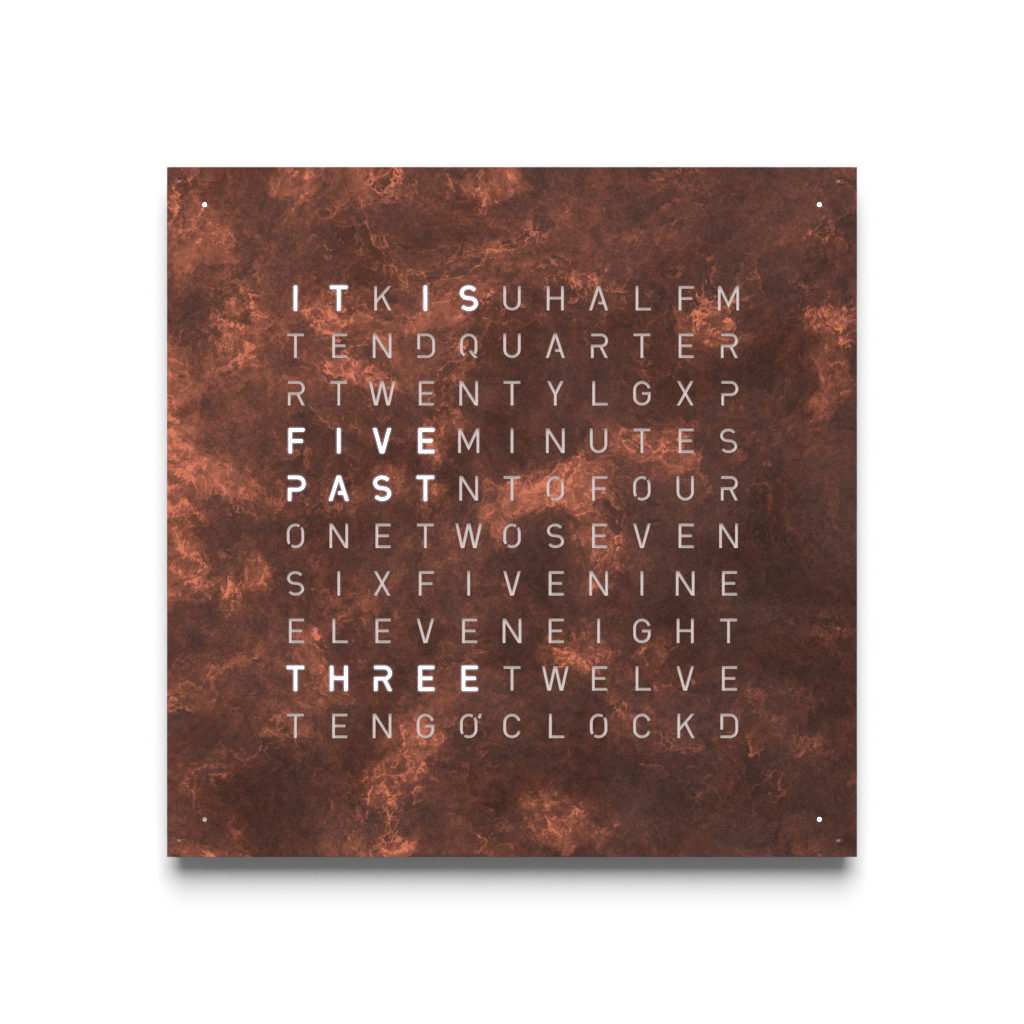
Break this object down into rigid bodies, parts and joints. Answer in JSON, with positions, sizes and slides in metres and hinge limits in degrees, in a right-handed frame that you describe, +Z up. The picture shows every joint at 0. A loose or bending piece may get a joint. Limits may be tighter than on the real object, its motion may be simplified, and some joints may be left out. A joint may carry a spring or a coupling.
{
  "type": "word clock",
  "caption": "Square wall clock that shows the time in lit words cut through a patinated steel cover, over a light grid in a shallow frame.",
  "frame": {"origin": "on the wall plane, at the centre of the four wall screw holes, which is the centre of the square", "axes": "+X to the viewer's right, +Z up, +Y into the wall, so the cover faces -Y"},
  "size_m": [0.45, 0.02, 0.45],
  "materials": {
    "cover_steel": "steel sheet with a natural rust patina, mottled brown and orange, sealed with a satin clear lacquer",
    "stud_steel": "plain steel weld studs",
    "frame_lacquer": "moulded and lacquered black",
    "magnet_nickel": "nickel-plated bar magnets",
    "panel_plastic": "black, fine moulded grain",
    "pad_rubber": "black",
    "board_laminate": "glass-fibre circuit board with white solder resist",
    "lamp_body": "white surface-mounted lamps",
    "grid_plastic": "white, reflecting",
    "opal_acrylic": "opal white acrylic that glows where its lamp is lit",
    "chip_epoxy": "black moulded packages",
    "cell_steel": "bright spring steel and coin cell",
    "socket_plastic": "black",
    "ribbon_jacket": "grey",
    "connector_plastic": "cream",
    "switch_body": "black",
    "switch_plunger": "grey",
    "clear_plastic": "clear plug",
    "button_plastic": "black, like the frame"
  },
  "bodies": {
    "housing": {"side_frame": "frame_lacquer", "cover_magnets": "magnet_nickel", "rear_panel": "panel_plastic", "wall_pads": "pad_rubber", "lamp_board": "board_laminate", "letter_lamps": "lamp_body", "minute_lamps": "lamp_body", "light_grid": "grid_plastic", "opal_sheet": "opal_acrylic", "light_wells": "grid_plastic", "minute_lenses": "opal_acrylic", "control_board": "board_laminate", "microcontroller": "chip_epoxy", "lamp_drivers": "chip_epoxy", "backup_cell": "cell_steel", "backup_cell_clip": "cell_steel", "supply_socket": "socket_plastic", "ribbon_cable": "ribbon_jacket", "ribbon_sockets": "connector_plastic", "button_switches": "switch_body", "light_sensor": "chip_epoxy", "sensor_window": "clear_plastic"},
    "cover": {"front_cover": "cover_steel", "locating_studs": "stud_steel"},
    "mode_key": {"mode_button": "button_plastic", "mode_plunger": "switch_plunger"},
    "hour_key": {"hour_button": "button_plastic", "hour_plunger": "switch_plunger"},
    "minute_key": {"minute_button": "button_plastic", "minute_plunger": "switch_plunger"},
    "brightness_key": {"brightness_button": "button_plastic", "brightness_plunger": "switch_plunger"}
  },
  "joints": [
    {"name": "cover_lift_off", "type": "slide", "parent": "housing", "child": "cover", "axis": [0, -1, 0], "range_m": [0, 0.06]},
    {"name": "mode_press", "type": "slide", "parent": "housing", "child": "mode_key", "axis": [0, 0, 1], "range_m": [0, 0.0005], "stiffness_N_per_m": 2000},
    {"name": "hour_press", "type": "slide", "parent": "housing", "child": "hour_key", "axis": [0, 0, 1], "range_m": [0, 0.0005], "stiffness_N_per_m": 2000},
    {"name": "minute_press", "type": "slide", "parent": "housing", "child": "minute_key", "axis": [0, 0, 1], "range_m": [0, 0.0005], "stiffness_N_per_m": 2000},
    {"name": "brightness_press", "type": "slide", "parent": "housing", "child": "brightness_key", "axis": [0, 0, 1], "range_m": [0, 0.0005], "stiffness_N_per_m": 2000}
  ]
}
